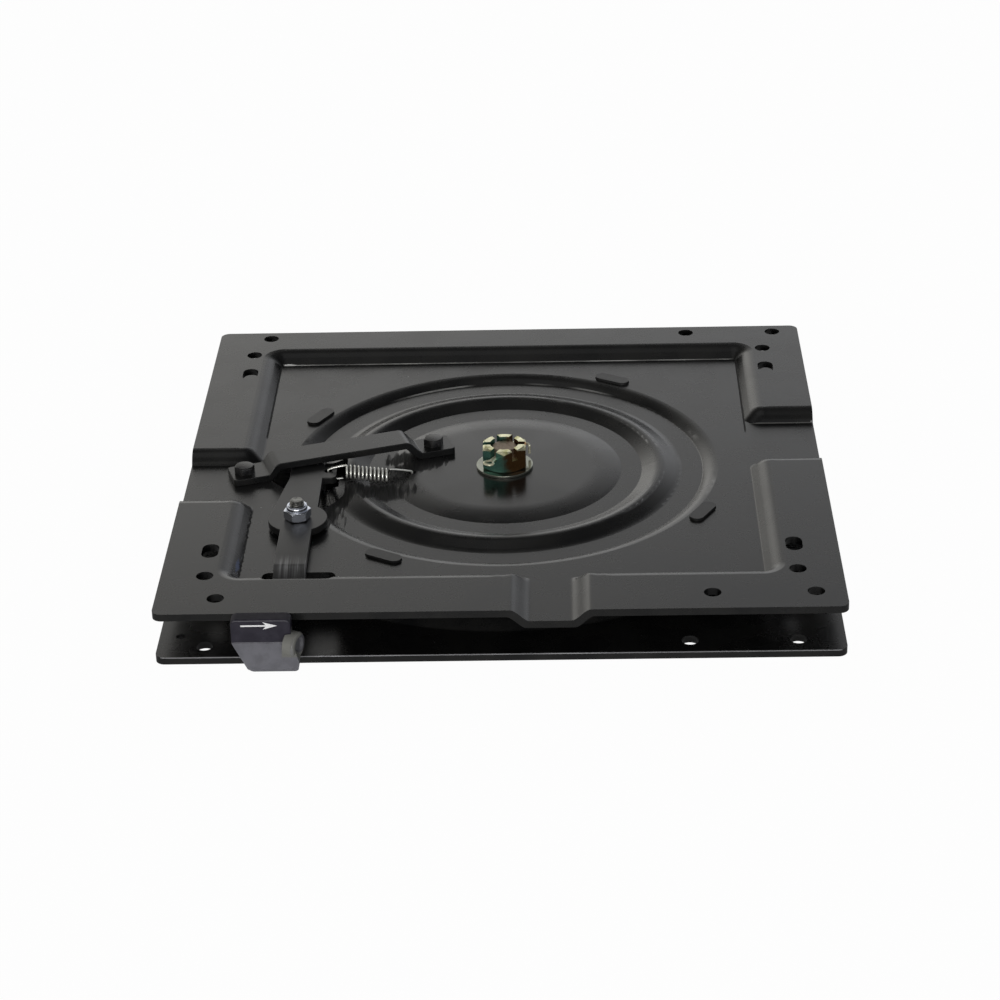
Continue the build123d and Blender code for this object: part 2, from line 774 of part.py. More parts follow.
lever_nut_blank = hexagon(lever_bolt_flats, lever_nut_bottom, lever_nut_hex, lever_nut_turn, True, True)
with BuildPart() as lever_nut:
    with Locations((lever_x, lever_y)):
        add(lever_nut_blank)
    with BuildSketch(Plane.XY.offset(lever_nut_bottom + lever_nut_hex)):
        with Locations((lever_x, lever_y)):
            Circle(lever_bolt_diameter / 2 + lever_nut_wall)
    extrude(amount=lever_nut_collar)
    fillet(lever_nut.edges().group_by(Axis.Z)[-1], lever_nut_round)
    with BuildSketch(Plane.XY.offset(lever_nut_bottom)):
        with Locations((lever_x, lever_y)):
            Circle(lever_bolt_diameter / 2 + tapped_fit)
    extrude(amount=lever_nut_top - lever_nut_bottom, mode=Mode.SUBTRACT)
lever_nut.part.label = "lever_nut"
export_step(lever_nut.part, "parts/lever_nut.step")

# Keeper strap: a flat bar bent into a bridge over the lever's arm
strap_line = (cos(strap_turn), sin(strap_turn), 0)
strap_across = (sin(strap_turn), -cos(strap_turn), 0)
strap_plane = Plane(origin=(strap_x, strap_y, 0), x_dir=strap_line, z_dir=strap_across)
near_foot_z = floor_top + strap_sheet / 2
bridge_z = lever_top + strap_clearance + strap_sheet / 2
far_foot_z = disc_top + strap_sheet / 2
with BuildPart() as keeper_strap:
    with BuildSketch(strap_plane):
        with BuildLine():
            FilletPolyline(
                (-strap_near_end, near_foot_z),
                (strap_near_foot, near_foot_z),
                (strap_near_foot + strap_near_rise, bridge_z),
                (strap_span - strap_far_foot - strap_far_rise, bridge_z),
                (strap_span - strap_far_foot, far_foot_z),
                (strap_span + strap_far_end, far_foot_z),
                radius=strap_bend,
            )
        trace(line_width=strap_sheet)
    extrude(amount=strap_width / 2, both=True)
    fillet(keeper_strap.edges().filter_by(Axis.Z), strap_corner)
    with BuildSketch(Plane.XY.offset(disc_top)):
        with Locations((strap_x, strap_y), (strap_far_x, strap_far_y)):
            Circle(strap_bolt_diameter / 2 + strap_hole_clearance)
    extrude(amount=lever_top - disc_top, mode=Mode.SUBTRACT)
keeper_strap.part.label = "keeper_strap"
export_step(keeper_strap.part, "parts/keeper_strap.step")

# Strap bolts, tapped into the turntable plate
strap_seats = ((strap_x, strap_y, floor_top), (strap_far_x, strap_far_y, disc_top))
for number, (bolt_x, bolt_y, seat) in enumerate(strap_seats, 1):
    under_head = seat + strap_sheet
    strap_head = hexagon(strap_bolt_flats, under_head, strap_bolt_head, degrees(strap_turn), False, True)
    with BuildPart() as strap_bolt:
        with Locations((bolt_x, bolt_y)):
            add(strap_head)
        with BuildSketch(Plane.XY.offset(under_head)):
            with Locations((bolt_x, bolt_y)):
                Circle(strap_bolt_diameter / 2)
        extrude(amount=-strap_sheet - sheet - strap_bolt_proud)
    strap_bolt.part.label = f"strap_bolt_{number}"
    export_step(strap_bolt.part, f"parts/strap_bolt_{number}.step")

# Return spring: coils between a hook in the lever's tab and a leg in the disc
near_x = tab_right_x + spring_near_gap
near_y = spring_tab_y + spring_near_step
far_x = spring_hole_x - spring_far_gap
far_y = spring_hole_y - spring_far_step
coil_start = Vector(near_x, near_y, floor_top + spring_near_lift)
coil_axis = Vector(far_x, far_y, floor_top + spring_far_lift) - coil_start
coil_radius = (spring_diameter - spring_wire) / 2
coil_across = Vector(0, 0, 1).cross(coil_axis)
coil_plane = Plane(origin=coil_start, x_dir=coil_axis.cross(coil_across), z_dir=coil_axis)
coil, coil_line = spring_coil(coil_axis.length, coil_radius)
hook_path = (
    coil_plane.from_local_coords(coil_line @ 0),
    coil_plane.from_local_coords(coil_line @ 0 - (coil_line % 0) * spring_lead),
    (spring_tab_x, spring_tab_y, lever_top + spring_hook_rise),
    (spring_tab_x, spring_tab_y, lever_bottom - spring_hook_drop),
    (spring_tab_x + spring_tail, spring_tab_y + spring_tail_step, lever_bottom - spring_hook_drop),
)
leg_path = (
    coil_plane.from_local_coords(coil_line @ 1),
    coil_plane.from_local_coords(coil_line @ 1 + (coil_line % 1) * spring_lead),
    (spring_hole_x, spring_hole_y, disc_top + spring_hook_rise),
    (spring_hole_x, spring_hole_y, disc_bottom - spring_hook_drop),
)
with BuildPart() as return_spring:
    with Locations(coil_plane.location):
        add(coil)
    for end_path in (hook_path, leg_path):
        with BuildLine() as end_line:
            FilletPolyline(*end_path, radius=spring_hook_bend)
        with BuildSketch(Plane(origin=end_line.line @ 0, z_dir=end_line.line % 0)):
            Circle(spring_wire / 2)
        sweep(path=end_line.line)
return_spring.part.label = "return_spring"
export_step(return_spring.part, "parts/return_spring.step")

# Finger grip: upright face over a sloping lip, side boss with a dish, and a socket for the lever's tab
grip_floor = tab_bottom - grip_wall
lip_bottom = grip_lip_z - grip_lip_edge
lip_left_x = grip_left_x + grip_slope
lip_right_x = grip_right_x + grip_flare
with BuildPart() as grip:
    with BuildSketch(Plane.YZ.offset(grip_left_x)):
        Polygon(
            (grip_back_y, grip_top),
            (grip_front_y, grip_top),
            (grip_front_y, grip_face_bottom),
            (grip_lip_y, grip_lip_z),
            (grip_lip_y + grip_lip_round, lip_bottom),
            (grip_front_y, grip_floor),
            (grip_back_y, grip_floor),
            align=None,
        )
    extrude(amount=lip_right_x - grip_left_x)
    # Front view: a square head, and a lip that leans to the right below it
    with BuildSketch(Plane.XZ.offset(-grip_back_y)) as front_view:
        Polygon(
            (grip_left_x, grip_top),
            (grip_right_x, grip_top),
            (grip_right_x, grip_face_bottom),
            (lip_right_x, lip_bottom + grip_lip_side),
            (lip_right_x, lip_bottom),
            (lip_left_x, lip_bottom),
            (grip_left_x, grip_face_bottom),
            align=None,
        )
        fillet(front_view.vertices().group_by(Axis.Y)[-1], grip_corner)
        fillet(front_view.vertices().group_by(Axis.Y)[0], grip_lip_corner)
    extrude(amount=grip_back_y - grip_lip_y, mode=Mode.INTERSECT)
    front_edges = grip.faces().filter_by(Axis.Y).sort_by(Axis.Y)[0].edges()
    fillet(front_edges, grip_edge_round)
    # Side boss with a rounded rim and a dished end, turned towards the front
    boss_turn = radians(grip_boss_turn)
    boss_axis = Vector(cos(boss_turn), -sin(boss_turn), 0)
    boss_root = (grip_right_x - grip_boss_root, grip_front_y + grip_boss_root, grip_top - grip_boss_drop)
    boss_radius = grip_boss_diameter / 2
    rim_radius = boss_radius - grip_boss_round
    rim_start = grip_boss_length - grip_boss_round
    dish_floor = grip_boss_length - grip_dish
    with BuildSketch(Plane(origin=boss_root, x_dir=(0, 0, 1), z_dir=Vector(0, 0, 1).cross(boss_axis))):
        with BuildLine():
            Polyline((0, 0), (boss_radius, 0), (boss_radius, rim_start))
            TangentArc((boss_radius, rim_start), (rim_radius, grip_boss_length), tangent=(0, 1))
            Polyline(
                (rim_radius, grip_boss_length),
                (grip_dish_diameter / 2, grip_boss_length),
                (grip_dish_foot / 2, dish_floor),
                (0, dish_floor),
                (0, 0),
            )
        make_face()
    revolve(axis=Axis(boss_root, boss_axis))
    # Socket, open to the back so that the lever's bar can enter
    socket_back = socket_y - lever_sheet / 2 - grip_socket_fit
    with BuildSketch(Plane.XZ.offset(-grip_back_y)):
        with Locations((bar_end_x, (tab_bottom + bar_top) / 2)):
            Rectangle(bar_width + 2 * grip_socket_fit, bar_top - tab_bottom + 2 * grip_socket_fit)
    extrude(amount=grip_back_y - socket_back, mode=Mode.SUBTRACT)
grip.part.label = "grip"
export_step(grip.part, "parts/grip.step")
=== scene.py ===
import json
import math

import bmesh
import bpy
from mathutils import Matrix, Vector
from mathutils.geometry import interpolate_bezier


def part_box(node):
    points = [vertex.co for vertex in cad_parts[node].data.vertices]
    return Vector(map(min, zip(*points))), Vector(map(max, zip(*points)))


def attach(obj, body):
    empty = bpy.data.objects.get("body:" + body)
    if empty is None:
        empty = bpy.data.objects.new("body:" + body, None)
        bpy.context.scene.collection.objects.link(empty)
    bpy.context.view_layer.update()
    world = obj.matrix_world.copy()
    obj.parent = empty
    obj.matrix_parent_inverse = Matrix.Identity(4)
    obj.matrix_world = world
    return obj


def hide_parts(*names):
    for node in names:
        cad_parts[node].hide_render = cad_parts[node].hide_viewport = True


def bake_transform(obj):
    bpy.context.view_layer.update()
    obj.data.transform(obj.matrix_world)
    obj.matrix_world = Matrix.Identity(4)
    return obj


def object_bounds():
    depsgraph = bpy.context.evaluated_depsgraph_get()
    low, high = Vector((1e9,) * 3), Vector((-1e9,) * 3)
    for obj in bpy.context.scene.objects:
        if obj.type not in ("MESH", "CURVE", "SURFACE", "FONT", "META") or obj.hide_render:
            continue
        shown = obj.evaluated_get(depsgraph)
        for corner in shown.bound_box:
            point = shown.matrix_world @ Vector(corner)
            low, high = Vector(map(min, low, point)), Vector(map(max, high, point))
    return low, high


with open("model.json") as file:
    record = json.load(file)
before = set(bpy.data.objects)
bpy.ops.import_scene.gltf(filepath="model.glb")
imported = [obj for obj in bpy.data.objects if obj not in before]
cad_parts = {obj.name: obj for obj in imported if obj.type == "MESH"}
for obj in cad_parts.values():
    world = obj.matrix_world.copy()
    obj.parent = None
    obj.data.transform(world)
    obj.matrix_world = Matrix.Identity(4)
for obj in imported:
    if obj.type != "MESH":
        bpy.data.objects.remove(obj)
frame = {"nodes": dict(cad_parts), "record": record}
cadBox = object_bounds()
nodes = frame["nodes"]
record = frame["record"]
mm = 0.001
bodyOf = {node: body for body, members in record["behaviour"]["bodies"].items() for node in members}
slotOf = {row["node"]: row["material_slot"] for row in record["subparts"]}


# one output socket; arithmetic on it adds Math nodes to its tree
class Wire:
    def __init__(self, tree, socket=None):
        self.tree = tree
        self.socket = socket

    def node(self, kind, settings=None, sockets=None, out=0):
        made = self.tree.nodes.new("ShaderNode" + kind)
        for name, value in (settings or {}).items():
            if name == "stops":
                fillRamp(made.color_ramp, value)
            else:
                setattr(made, name, value)
        for name, value in (sockets or {}).items():
            if isinstance(value, Wire):
                self.tree.links.new(value.socket, made.inputs[name])
            else:
                made.inputs[name].default_value = value
        return Wire(self.tree, made.outputs[out] if made.outputs else None)

    def maths(self, operation, first, second=0.0):
        return self.node("Math", {"operation": operation}, {0: first, 1: second})

    def __add__(self, other):
        return self.maths("ADD", self, other)

    def __radd__(self, other):
        return self.maths("ADD", other, self)

    def __sub__(self, other):
        return self.maths("SUBTRACT", self, other)

    def __rsub__(self, other):
        return self.maths("SUBTRACT", other, self)

    def __mul__(self, other):
        return self.maths("MULTIPLY", self, other)

    def __rmul__(self, other):
        return self.maths("MULTIPLY", other, self)

    def __truediv__(self, other):
        return self.maths("DIVIDE", self, other)

    def __rtruediv__(self, other):
        return self.maths("DIVIDE", other, self)

    def __pow__(self, other):
        return self.maths("POWER", self, other)

    def __rpow__(self, other):
        return self.maths("POWER", other, self)

    def largest(self, other):
        return self.maths("MAXIMUM", self, other)

    def distance(self, other):
        return self.maths("ABSOLUTE", self - other)

    # 0 below the first value, 1 above the second
    def ramp(self, low, high):
        sockets = {"Value": self, "From Min": low, "From Max": high}
        return self.node("MapRange", {"interpolation_type": "SMOOTHSTEP"}, sockets)

    # 1 between two values, with soft ends of the given length
    def between(self, low, high, soft):
        return self.ramp(low, low + soft) * (1.0 - self.ramp(high - soft, high))

    # 1 on a line at the given value, 0 from one width away
    def near(self, value, width):
        return 1.0 - self.distance(value).ramp(0.5 * width, width)

    def mixColour(self, first, second):
        sockets = {"Factor": self, 6: first, 7: second}
        return self.node("Mix", {"data_type": "RGBA"}, sockets, out=2)


def fillRamp(ramp, stops):
    while len(ramp.elements) < len(stops):
        ramp.elements.new(1.0)
    for element, (place, colour) in zip(ramp.elements, stops):
        element.position = place
        element.color = colour


def rgb(red, green, blue):
    return (red, green, blue, 1.0)


# a new material: its node tree's start and the place on the object, in metres
def newFinish(name):
    material = bpy.data.materials.new(name)
    material.use_nodes = True
    material.node_tree.nodes.clear()
    start = Wire(material.node_tree)
    return material, start, start.node("TexCoord", out=3)


def closeFinish(start, sockets):
    surface = start.node("BsdfPrincipled", None, sockets)
    start.node("OutputMaterial", None, {"Surface": surface})


def noise(place, scale, detail=2.0, roughness=0.5):
    sockets = {"Vector": place, "Scale": scale, "Detail": detail, "Roughness": roughness}
    return place.node("TexNoise", None, sockets)


# noise drawn out along the axes with small frequencies, as a brush leaves it
def streaks(place, frequency, turn=0.0, detail=2.0):
    sockets = {"Vector": place, "Rotation": (0, 0, turn), "Scale": frequency}
    return noise(place.node("Mapping", None, sockets), 1.0, detail, 0.6)


def along(place, axis):
    return place.node("SeparateXYZ", None, {"Vector": place}, out="XYZ".index(axis))


# how far a surface faces up: 1 on a level top, -1 underneath
def facingUp(start):
    return along(start.node("TexCoord", out=1), "Z")


# 0 at the middle of an oval patch, 1 at its rim; sizes in mm
def patch(place, middle, half, turn=0.0):
    sockets = {
        "Vector": place,
        "Location": [value * mm for value in middle],
        "Rotation": (0, 0, math.radians(turn)),
        "Scale": [value * mm for value in half],
    }
    inside = place.node("Mapping", {"vector_type": "TEXTURE"}, sockets)
    return inside.node("VectorMath", {"operation": "LENGTH"}, {0: inside}, out=1)


# 1 inside an oval patch with a ragged rim, 0 outside it
def blot(place, spot, grain, ragged, rim):
    reach = patch(place, *spot) + (noise(place, grain) - 0.5) * ragged
    return 1.0 - reach.ramp(*rim)


def bump(height, distance):
    return height.node("Bump", None, {"Height": height, "Distance": distance})


# satin paint with cloudy gloss, a fine orange peel and a little settled dust
paintLook = {
    "dark": rgb(0.0060, 0.0062, 0.0066),
    "pale": rgb(0.0130, 0.0128, 0.0122),
    "dust": rgb(0.16, 0.15, 0.135),
    "roughness": 0.27,
    "cloudRoughness": 0.16,
    "cloudScale": 34.0,
    "peelScale": 420.0,
    "peelDepth": 0.000003,
    "speckScale": 1500.0,
    "speckShare": 0.35,
    "scratches": (45.0, 1500.0, 300.0),
    "scratchTurn": 0.6,
    "scratchShare": 0.04,
}


def paintCoat(name):
    look = paintLook
    material, start, place = newFinish(name)
    cloud = noise(place, look["cloudScale"], 4.0, 0.6)
    peel = bump(noise(place, look["peelScale"]), look["peelDepth"])
    specks = noise(place, look["speckScale"], 1.0).ramp(0.76, 0.82) * cloud.ramp(0.4, 0.7)
    scratch = streaks(place, look["scratches"], look["scratchTurn"]).ramp(0.70, 0.76)
    colour = cloud.ramp(0.3, 0.7).mixColour(look["dark"], look["pale"])
    dusty = specks * look["speckShare"] + scratch * look["scratchShare"]
    colour = dusty.mixColour(colour, look["dust"])
    rough = look["roughness"] + (cloud - 0.5) * look["cloudRoughness"] + scratch * 0.06
    return material, start, place, colour, rough, peel


# marks on the plates, in mm; a patch has its middle, its half sizes and its turn in degrees
plateMarks = {
    # grease patches that also paint the shade round the lever and under the strap
    "greaseAndShade": [
        ((-71, -29, 22), (30, 13, 30), 6),
        ((-49, 3, 22), (24, 10, 30), 24),
        ((-124, -23, 22), (19, 8, 30), -8),
        ((-94, -36, 22), (13, 15, 30), 10),
        ((-122, -12, 23), (15, 7, 30), -15),
        ((-59, 13, 22), (13, 11, 30), 20),
        ((-103, -52, 22), (20, 30, 30), 20),
    ],
    "greaseAndShadeColour": rgb(0.0022, 0.0021, 0.0022),
    "greaseRoughness": 0.54,
    "brush": (420.0, 55.0, 55.0),
    "hatch": (1000.0, 70.0, 70.0),
    "brushTurn": 0.25,
    "floorLevels": (20.0, 26.0),   # the lines below show only between these heights
    "crackAndShade": {"x": -137.9, "width": 0.7, "run": (-131.0, -52.0)},   # painted shade in the crease at the left wall's foot, where the paint is also cracked
    "creaseShade": {"x": 137.9, "width": 0.7, "run": (34.0, 135.0)},
    "crackAndShadeColour": rgb(0.001, 0.001, 0.001),
    "scuff": ((-139.4, -119.0, 25.0), (1.2, 9.0, 6.0)),
    "scuffColour": rgb(0.10, 0.15, 0.34),
    # the pale lines below are painted highlights in the creases
    "footLine": {"y": 136.3, "width": 0.55, "half": 137.5, "brightest": (-136.0, -96.0)},
    "ringLine": {"radius": 112.3, "width": 0.55, "fade": (60.0, 105.0)},
    "outletLine": {"y": 46.7, "width": 0.5, "start": (139.0, 142.0)},
    "highlightColour": rgb(0.62, 0.62, 0.60),
    "glint": ((-133.2, 136.5, 23.3), (5.0, 0.9, 3.0)),   # painted highlight in the pocket's rear corner
    "glintColour": rgb(0.92, 0.92, 0.90),
    "edge": {"y": -178.5, "z": 4.0, "width": 0.55},   # painted highlight along the upper front edge of the base plate
    "edgeHighlightColour": rgb(0.50, 0.50, 0.52),
    "chips": [
        (-133.4, -50.0, 23.1),
        (65.5, -86.0, 23.1),
        (-60.0, 118.0, 23.1),
        (96.0, 30.0, 23.1),
        (176.6, 47.2, 24.6),
    ],
    "chipHalf": (0.7, 0.5, 2.0),
    "chipColour": rgb(0.34, 0.34, 0.33),
    "disc": (48.0, 54.0),   # the middle disc is glossier
    "discGloss": 0.07,
}


# brushed patches of old grease, with fine strokes inside them; they also paint the shade round the lever
# and under the strap
def greaseAndShadeOn(place):
    turn = plateMarks["brushTurn"]
    strokes = streaks(place, plateMarks["brush"], turn, 3.0)
    greaseAndShade = None
    for spot in plateMarks["greaseAndShade"]:
        reach = patch(place, *spot) + (strokes - 0.5) * 1.5
        mark = 1.0 - reach.ramp(0.55, 0.85)
        greaseAndShade = mark if greaseAndShade is None else greaseAndShade.largest(mark)
    hatch = streaks(place, plateMarks["hatch"], turn).ramp(0.42, 0.58)
    return greaseAndShade * (0.7 + 0.3 * hatch)


# painted shade: dark lines along the foot of the side walls, in the creases; one wandering, where the
# paint is also cracked, two fine
def creaseShadeOn(place, across, run):
    crackAndShade = plateMarks["crackAndShade"]
    creaseShade = plateMarks["creaseShade"]
    wander = (noise(place, 300.0, 3.0) - 0.5) * 2.4
    crackedShade = (across + wander).near(crackAndShade["x"], crackAndShade["width"]) * run.between(*crackAndShade["run"], 4.0)
    fineShade = (across.distance(0.0) + wander * 0.2).near(creaseShade["x"], creaseShade["width"])
    return crackedShade.largest(fineShade * run.between(*creaseShade["run"], 5.0) * 0.9)


# painted highlights: pale lines in the pressed creases, at the back wall's foot, the right outlet's foot
# and the outer ring
def highlightLinesOn(across, run, radius, onFloor, patchy):
    foot = plateMarks["footLine"]
    outlet = plateMarks["outletLine"]
    ring = plateMarks["ringLine"]
    atFoot = run.near(foot["y"], foot["width"]) * across.between(-foot["half"], foot["half"], 4.0)
    atFoot = atFoot * onFloor * (0.25 + 0.6 * patchy).largest(1.0 - across.ramp(*foot["brightest"]))
    atOutlet = run.near(outlet["y"], outlet["width"]) * across.ramp(*outlet["start"])
    atOutlet = atOutlet * onFloor * (0.2 + 0.5 * patchy)
    onRing = radius.near(ring["radius"], ring["width"]) * run.ramp(*ring["fade"]) * patchy * 0.5
    return atFoot.largest(onRing).largest(atOutlet)


# painted highlight along the base plate's upper front edge
def baseEdgeHighlightOn(run, height):
    edge = plateMarks["edge"]
    width = edge["width"]
    atFront = 1.0 - (run - edge["y"]).ramp(0.6 * width, width)
    return atFront * height.between(edge["z"] - width, edge["z"] + 0.3, 0.15)


def platePaint():
    marks = plateMarks
    material, start, place, colour, rough, peel = paintCoat("platePaint")
    across = along(place, "X") / mm
    run = along(place, "Y") / mm
    height = along(place, "Z") / mm
    radius = (across * across + run * run) ** 0.5
    onFloor = height.between(*marks["floorLevels"], 0.5)
    patchy = noise(place, 26.0).ramp(0.42, 0.68)
    # old grease and painted shade round the lever and under the strap
    greaseAndShade = greaseAndShadeOn(place)
    colour = greaseAndShade.mixColour(colour, marks["greaseAndShadeColour"])
    # painted shade in the creases at the side walls' foot, with cracked paint on the left
    crackAndShade = creaseShadeOn(place, across, run) * onFloor
    colour = crackAndShade.mixColour(colour, marks["crackAndShadeColour"])
    scuff = blot(place, marks["scuff"], 900.0, 1.6, (0.4, 0.9))
    colour = (scuff * 0.7).mixColour(colour, marks["scuffColour"])
    # painted highlights in the pressed creases
    highlightLines = highlightLinesOn(across, run, radius, onFloor, patchy)
    colour = highlightLines.mixColour(colour, marks["highlightColour"])
    # painted highlight in the pocket's rear corner
    glint = blot(place, marks["glint"], 700.0, 0.8, (0.5, 0.9))
    colour = glint.mixColour(colour, marks["glintColour"])
    # painted highlight on the base plate's front edge
    edge = baseEdgeHighlightOn(run, height) * (0.45 + 0.45 * patchy)
    colour = edge.mixColour(colour, marks["edgeHighlightColour"])
    for chip in marks["chips"]:
        bare = blot(place, (chip, marks["chipHalf"]), 2500.0, 1.0, (0.6, 0.9))
        colour = bare.mixColour(colour, marks["chipColour"])
    rough = rough + greaseAndShade * marks["greaseRoughness"] + crackAndShade * 0.5
    rough = rough - (1.0 - radius.ramp(*marks["disc"])) * marks["discGloss"]
    closeFinish(start, {"Base Color": colour, "Roughness": rough, "Normal": peel})
    return material


# brushed wear where the lever's bar rubs under the rim, in mm
leverWear = {
    "front": -139.0,
    "rear": -113.0,
    "soft": 12.0,
    "brush": (1100.0, 22.0, 22.0),
    "colour": rgb(0.30, 0.30, 0.305),
    "least": 0.18,
    "most": 0.78,
}


def leverPaint():
    look = leverWear
    material, start, place, colour, rough, peel = paintCoat("leverPaint")
    rubbed = streaks(place, look["brush"], 0.0, 3.0).ramp(0.42, 0.66)
    inRun = along(place, "Y").between(look["front"] * mm, look["rear"] * mm, look["soft"] * mm)
    wear = (look["least"] + (look["most"] - look["least"]) * rubbed) * inRun
    colour = wear.mixColour(colour, look["colour"])
    rough = rough + 0.06 + wear * 0.10
    closeFinish(start, {"Base Color": colour, "Roughness": rough, "Normal": peel})
    return material


def strapPaint():
    material, start, place, colour, rough, peel = paintCoat("strapPaint")
    closeFinish(start, {"Base Color": colour, "Roughness": rough, "Normal": peel})
    return material


# blacked steel of the strap's bolts
blackingLook = {
    "dark": rgb(0.010, 0.010, 0.011),
    "pale": rgb(0.030, 0.029, 0.028),
    "metallic": 0.35,
    "roughness": 0.30,
    "grain": 0.000012,
}


def boltBlacking():
    look = blackingLook
    material, start, place = newFinish("boltBlacking")
    cloud = noise(place, 260.0, 3.0, 0.6)
    fine = noise(place, 2400.0)
    colour = cloud.ramp(0.35, 0.7).mixColour(look["dark"], look["pale"])
    rough = look["roughness"] + (cloud - 0.5) * 0.25
    sockets = {"Base Color": colour, "Metallic": look["metallic"], "Roughness": rough}
    closeFinish(start, {**sockets, "Normal": bump(fine, look["grain"])})
    return material


# yellow passivate, teal to brown round the sides; the upper faces are painted pale as a highlight
nutLook = {
    "teal": rgb(0.10, 0.24, 0.19),
    "brown": rgb(0.11, 0.055, 0.020),
    "top": rgb(0.86, 0.84, 0.58),
    "topDark": rgb(0.52, 0.50, 0.22),
    "metallic": 0.75,
    "roughness": 0.22,
    "grain": 0.000008,
}


def yellowZinc():
    look = nutLook
    material, start, place = newFinish("yellowZinc")
    cloud = noise(place, 210.0, 3.0, 0.6)
    fine = noise(place, 2200.0)
    side = along(place, "X") + (cloud - 0.5) * (12 * mm)
    flank = side.ramp(-3 * mm, 3 * mm).mixColour(look["teal"], look["brown"])
    # painted highlight: faces that look up are paler
    highlightCrown = cloud.ramp(0.4, 0.65).mixColour(look["top"], look["topDark"])
    colour = facingUp(start).ramp(0.25, 0.6).mixColour(flank, highlightCrown)
    rough = look["roughness"] + (fine - 0.5) * 0.16
    sockets = {"Base Color": colour, "Metallic": look["metallic"], "Roughness": rough}
    closeFinish(start, {**sockets, "Normal": bump(fine, look["grain"])})
    return material


# plain metals: their shades, gloss and the scale of their clouds
metalLooks = {
    "brightZinc": {
        "shades": [rgb(0.55, 0.59, 0.68), rgb(0.72, 0.74, 0.80)],
        "roughness": 0.20,
        "metallic": 1.0,
        "scale": 120.0,
    },
    "bushBronze": {
        "shades": [rgb(0.50, 0.34, 0.16), rgb(0.60, 0.44, 0.22)],
        "roughness": 0.35,
        "metallic": 1.0,
        "scale": 120.0,
    },
    "washerZinc": {
        "shades": [rgb(0.24, 0.25, 0.21), rgb(0.35, 0.36, 0.31)],
        "roughness": 0.16,
        "metallic": 0.95,
        "scale": 120.0,
    },
    "pinZinc": {
        "shades": [rgb(0.72, 0.69, 0.46), rgb(0.93, 0.91, 0.76)],
        "roughness": 0.26,
        "metallic": 0.55,
        "scale": 400.0,
    },
    "boltEndZinc": {
        "shades": [rgb(0.20, 0.15, 0.10), rgb(0.34, 0.26, 0.19)],
        "roughness": 0.42,
        "metallic": 0.7,
        "scale": 600.0,
    },
    "darkZinc": {
        "shades": [rgb(0.05, 0.05, 0.05), rgb(0.30, 0.30, 0.28)],
        "roughness": 0.30,
        "metallic": 0.9,
        "scale": 500.0,
    },
}
metalGrain = 0.000006


def metalFinish(name):
    look = metalLooks[name]
    material, start, place = newFinish(name)
    cloud = noise(place, look["scale"], 3.0, 0.55)
    fine = noise(place, 2000.0)
    stops = list(zip((0.30, 0.70), look["shades"]))
    colour = start.node("ValToRGB", {"stops": stops}, {"Fac": cloud})
    rough = look["roughness"] + (fine - 0.5) * 0.14 + (cloud - 0.5) * 0.10
    sockets = {"Base Color": colour, "Metallic": look["metallic"], "Roughness": rough}
    closeFinish(start, {**sockets, "Normal": bump(fine, metalGrain)})
    return material


# spring wire: bright above, with painted shade inside the coil and on its lower side
wireLook = {
    "bright": rgb(0.98, 0.98, 0.93),
    "cloudy": rgb(0.92, 0.92, 0.85),
    "shadedWire": rgb(0.055, 0.052, 0.048),
    "shadeFrom": 0.05,
    "shadeFull": -0.65,
    "metallic": 0.60,
    "roughness": 0.26,
}


def springWire():
    look = wireLook
    material, start, place = newFinish("springWire")
    cloud = noise(place, 120.0, 3.0, 0.55)
    fine = noise(place, 2000.0)
    # painted shade on the wire's lower side and inside the coil
    upward = facingUp(start) + (cloud - 0.5) * 0.3
    inside = start.node("Attribute", {"attribute_name": "insideCoil"}, out=2)
    unshaded = upward.ramp(look["shadeFull"], look["shadeFrom"]) * (1.0 - inside.ramp(0.35, 0.65))
    bare = cloud.ramp(0.35, 0.65).mixColour(look["cloudy"], look["bright"])
    colour = unshaded.mixColour(look["shadedWire"], bare)
    rough = look["roughness"] + (fine - 0.5) * 0.12 + (1.0 - unshaded) * 0.2
    sockets = {"Base Color": colour, "Metallic": look["metallic"], "Roughness": rough}
    closeFinish(start, {**sockets, "Normal": bump(fine, metalGrain)})
    return material


# plain plastics: two shades, gloss and depth of the grain
plasticLooks = {
    "slidePlastic": {
        "dark": rgb(0.62, 0.61, 0.57),
        "pale": rgb(0.70, 0.69, 0.65),
        "roughness": 0.5,
        "grain": 0.00002,
    },
    "padPlastic": {
        "dark": rgb(0.010, 0.010, 0.010),
        "pale": rgb(0.018, 0.018, 0.018),
        "roughness": 0.37,
        "grain": 0.000006,
    },
}


def plasticFinish(name):
    look = plasticLooks[name]
    material, start, place = newFinish(name)
    cloud = noise(place, 120.0, 3.0)
    fine = noise(place, 1800.0)
    colour = cloud.ramp(0.3, 0.7).mixColour(look["dark"], look["pale"])
    rough = look["roughness"] + (fine - 0.5) * 0.15
    sockets = {"Base Color": colour, "Roughness": rough, "Specular IOR Level": 0.42}
    closeFinish(start, {**sockets, "Normal": bump(fine, look["grain"])})
    return material


# charcoal moulding: smooth dark face, paler scuffed lip under it, round boss with a dish; in mm
gripLook = {
    "face": rgb(0.020, 0.018, 0.028),
    "faceCloud": rgb(0.032, 0.029, 0.042),
    "faceRoughness": 0.34,
    "lip": rgb(0.20, 0.20, 0.225),
    "lipCloud": rgb(0.16, 0.16, 0.18),
    "lipRoughness": 0.52,
    "topRoughness": 0.75,
    "grain": 0.00001,
    "step": (18.3, 19.1),   # heights between which the lip ends and the face starts
    "bossSide": (-105.6, -105.0),
    "bossRoot": (-110.5, -109.7),
    "bossFront": (-190.2, -189.8),
    "bossAxis": (0.0, -187.5, 17.0),
    "bossRim": rgb(0.20, 0.20, 0.185),
    "bossDish": rgb(0.10, 0.10, 0.11),
    "dishRadius": 4.6,
    "bossLength": 1e6,   # the axis runs straight across, so the patch has no ends
}


